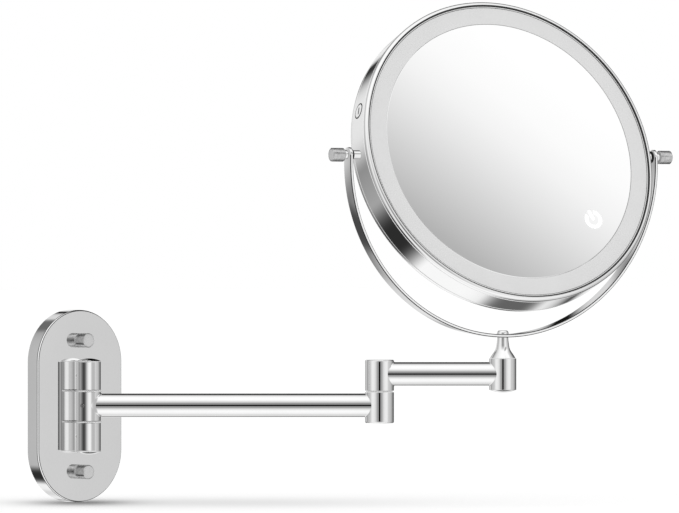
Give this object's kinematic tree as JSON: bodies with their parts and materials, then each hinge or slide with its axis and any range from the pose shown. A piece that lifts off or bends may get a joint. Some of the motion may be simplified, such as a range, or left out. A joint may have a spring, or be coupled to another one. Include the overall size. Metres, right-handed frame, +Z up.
{
  "type": "extendable shaving mirror",
  "caption": "Wall-mounted shaving mirror: an oval plate, a folding tube arm and a lit two-sided round mirror that tilts and flips in a yoke.",
  "frame": {"origin": "middle of the wall bracket's back face, on the wall", "axes": "+Y into the wall, -Y out into the room, +Z up, +X along the wall"},
  "size_m": [0.3732, 0.2506, 0.3348],
  "materials": {
    "chrome": "polished chrome plate, mirror bright",
    "knurled_chrome": "chrome plate over a fine straight knurl",
    "satin_steel": "turned steel, satin",
    "zinc_steel": "zinc plated pressed steel",
    "nylon": "natural nylon, satin",
    "mirror_glass": "silvered glass, polished",
    "diffuser": "frosted white light guide",
    "white_plastic": "moulded white plastic, fine matte grain",
    "circuit_board": "green solder mask over glass fibre",
    "black_plastic": "moulded black plastic",
    "battery_foil": "laminated foil pouch"
  },
  "bodies": {
    "base": {"wall_bracket": "zinc_steel", "bracket_stud_upper": "zinc_steel", "bracket_stud_lower": "zinc_steel", "base_plate": "chrome", "base_knuckle_upper": "chrome", "base_knuckle_lower": "chrome", "knuckle_screw_upper": "zinc_steel", "knuckle_screw_lower": "zinc_steel", "hinge_pin": "satin_steel", "hinge_washer_upper": "nylon", "hinge_washer_lower": "nylon", "hinge_cap_upper": "chrome", "hinge_cap_lower": "chrome"},
    "thumb_nut_upper": {"thumb_nut_upper": "knurled_chrome"},
    "thumb_nut_lower": {"thumb_nut_lower": "knurled_chrome"},
    "lower_arm": {"arm_knuckle": "chrome", "arm_set_screw": "satin_steel", "lower_arm_tube": "chrome", "elbow_barrel_lower": "chrome", "elbow_cap_lower": "chrome", "elbow_bolt": "satin_steel", "elbow_spring_washer": "satin_steel", "elbow_nut": "satin_steel"},
    "upper_arm": {"elbow_washer": "nylon", "elbow_barrel_upper": "chrome", "elbow_cap_upper": "chrome", "upper_arm_tube": "chrome", "end_barrel": "chrome", "end_cap": "chrome"},
    "yoke": {"swivel_neck": "chrome", "swivel_washer": "satin_steel", "swivel_nut": "satin_steel", "yoke_strip": "chrome", "yoke_screw": "satin_steel"},
    "mirror_head": {"drum_band": "chrome", "front_bezel": "chrome", "back_bezel": "chrome", "front_mirror": "mirror_glass", "diffuser_ring": "diffuser", "back_mirror": "mirror_glass", "led_board": "circuit_board", "inner_tray": "white_plastic", "battery_pack": "battery_foil", "control_board": "circuit_board", "touch_sensor": "black_plastic", "charge_port": "black_plastic", "pivot_boss_right": "satin_steel", "pivot_boss_left": "satin_steel", "pivot_spacer_right": "chrome", "pivot_spacer_left": "chrome", "tilt_washer_right": "nylon", "tilt_washer_left": "nylon"},
    "knob_right": {"side_knob_right": "knurled_chrome"},
    "knob_left": {"side_knob_left": "knurled_chrome"}
  },
  "joints": [
    {"name": "base_swing", "type": "hinge", "parent": "base", "child": "lower_arm", "pos_m": [0, -0.021, 0], "axis": [0, 0, 1], "range_deg": [-140, 39]},
    {"name": "elbow_turn", "type": "hinge", "parent": "lower_arm", "child": "upper_arm", "pos_m": [0.1497, -0.1444, 0.00995], "axis": [0, 0, 1], "continuous": true},
    {"name": "yoke_swivel", "type": "hinge", "parent": "upper_arm", "child": "yoke", "pos_m": [0.21312, -0.19668, 0.03195], "axis": [0, 0, 1], "continuous": true},
    {"name": "mirror_tilt", "type": "hinge", "parent": "yoke", "child": "mirror_head", "pos_m": [0.21312, -0.19668, 0.16685], "axis": [0.9732, -0.23, 0], "continuous": true},
    {"name": "knob_right_turn", "type": "hinge", "parent": "mirror_head", "child": "knob_right", "pos_m": [0.33282, -0.22498, 0.16685], "axis": [0.9732, -0.23, 0], "continuous": true},
    {"name": "knob_left_turn", "type": "hinge", "parent": "mirror_head", "child": "knob_left", "pos_m": [0.09342, -0.16839, 0.16685], "axis": [0.9732, -0.23, 0], "continuous": true},
    {"name": "thumb_nut_upper_turn", "type": "hinge", "parent": "base", "child": "thumb_nut_upper", "pos_m": [0, -0.0167, 0.0439], "axis": [0, -1, 0], "continuous": true},
    {"name": "thumb_nut_lower_turn", "type": "hinge", "parent": "base", "child": "thumb_nut_lower", "pos_m": [0, -0.0167, -0.0439], "axis": [0, -1, 0], "continuous": true}
  ]
}
